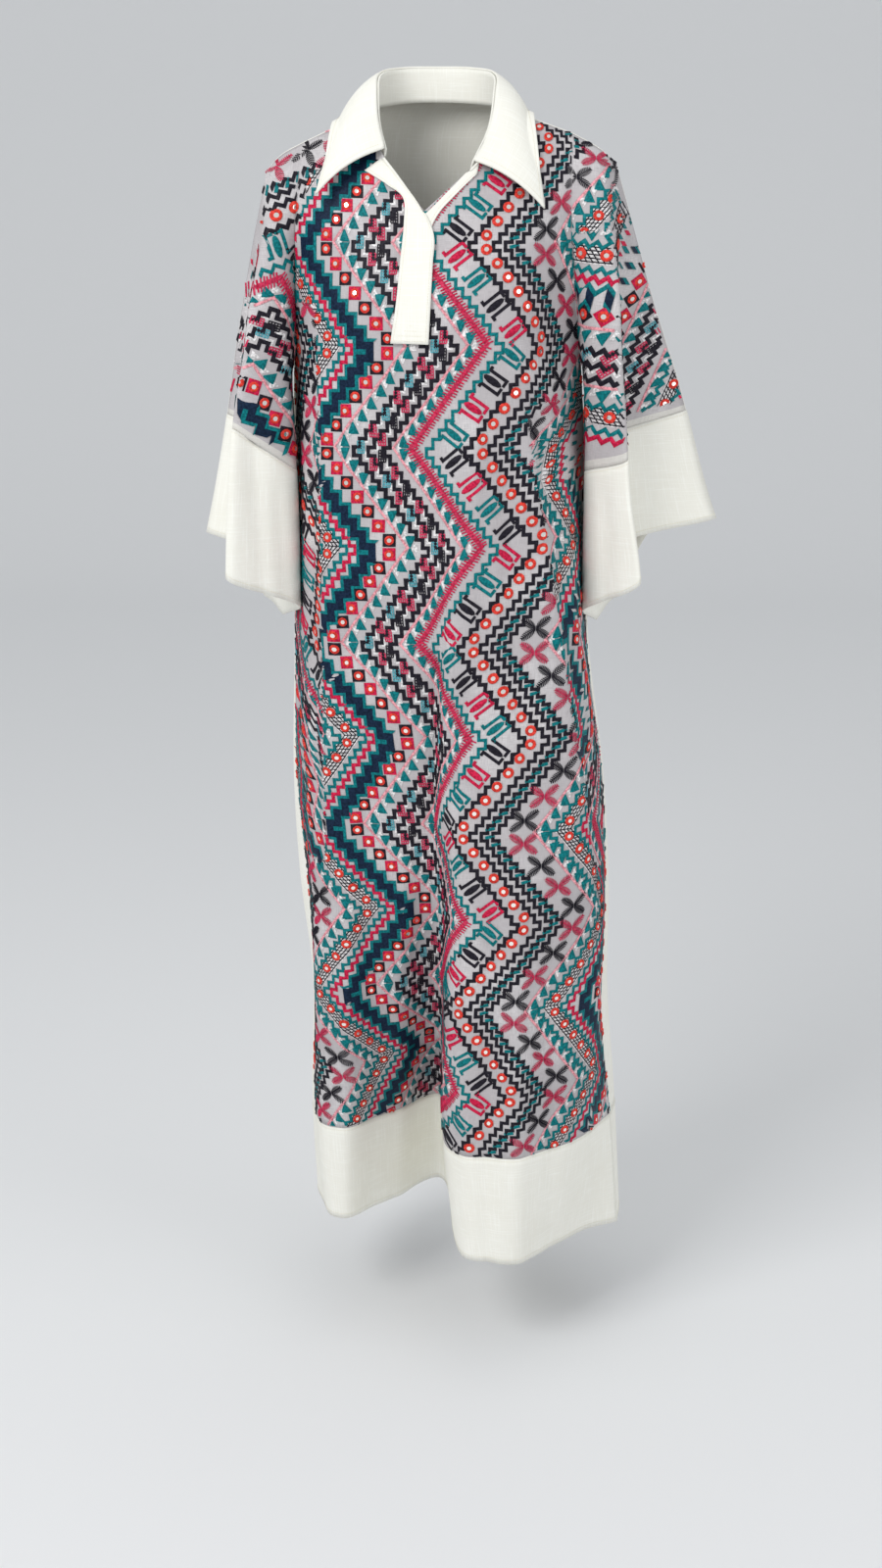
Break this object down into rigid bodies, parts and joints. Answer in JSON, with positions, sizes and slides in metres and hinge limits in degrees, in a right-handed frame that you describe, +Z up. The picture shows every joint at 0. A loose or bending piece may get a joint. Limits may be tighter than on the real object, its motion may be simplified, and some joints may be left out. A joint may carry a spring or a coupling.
{
  "type": "kaftan",
  "caption": "Long worn kaftan, hollow and open at neck, cuffs and hem, with an embroidered front, plain linen back, wide cuffs, hem band, pointed collar and a half placket.",
  "frame": {"origin": "midway between the shoulders, at the height where the collar meets them; the shoulders of a wearer hold the kaftan there", "axes": "+Z up, front faces -Y, +X towards the wearer's left hand"},
  "size_m": [0.5586, 0.3407, 1.323],
  "materials": {
    "embroidered_voile": "sheer grey voile under dense embroidery",
    "cream_linen": "matt slubbed weave",
    "embroidery": "silky stitched thread in several colours",
    "mirror_discs": "small round mirrors"
  },
  "bodies": {
    "root": {"front": "embroidered_voile", "back": "cream_linen", "hem_front": "cream_linen", "hem_back": "cream_linen", "cuff_l": "cream_linen", "cuff_r": "cream_linen", "collar_stand": "cream_linen", "collar_fall": "cream_linen", "placket": "cream_linen", "placket_under": "cream_linen"}
  },
  "joints": []
}
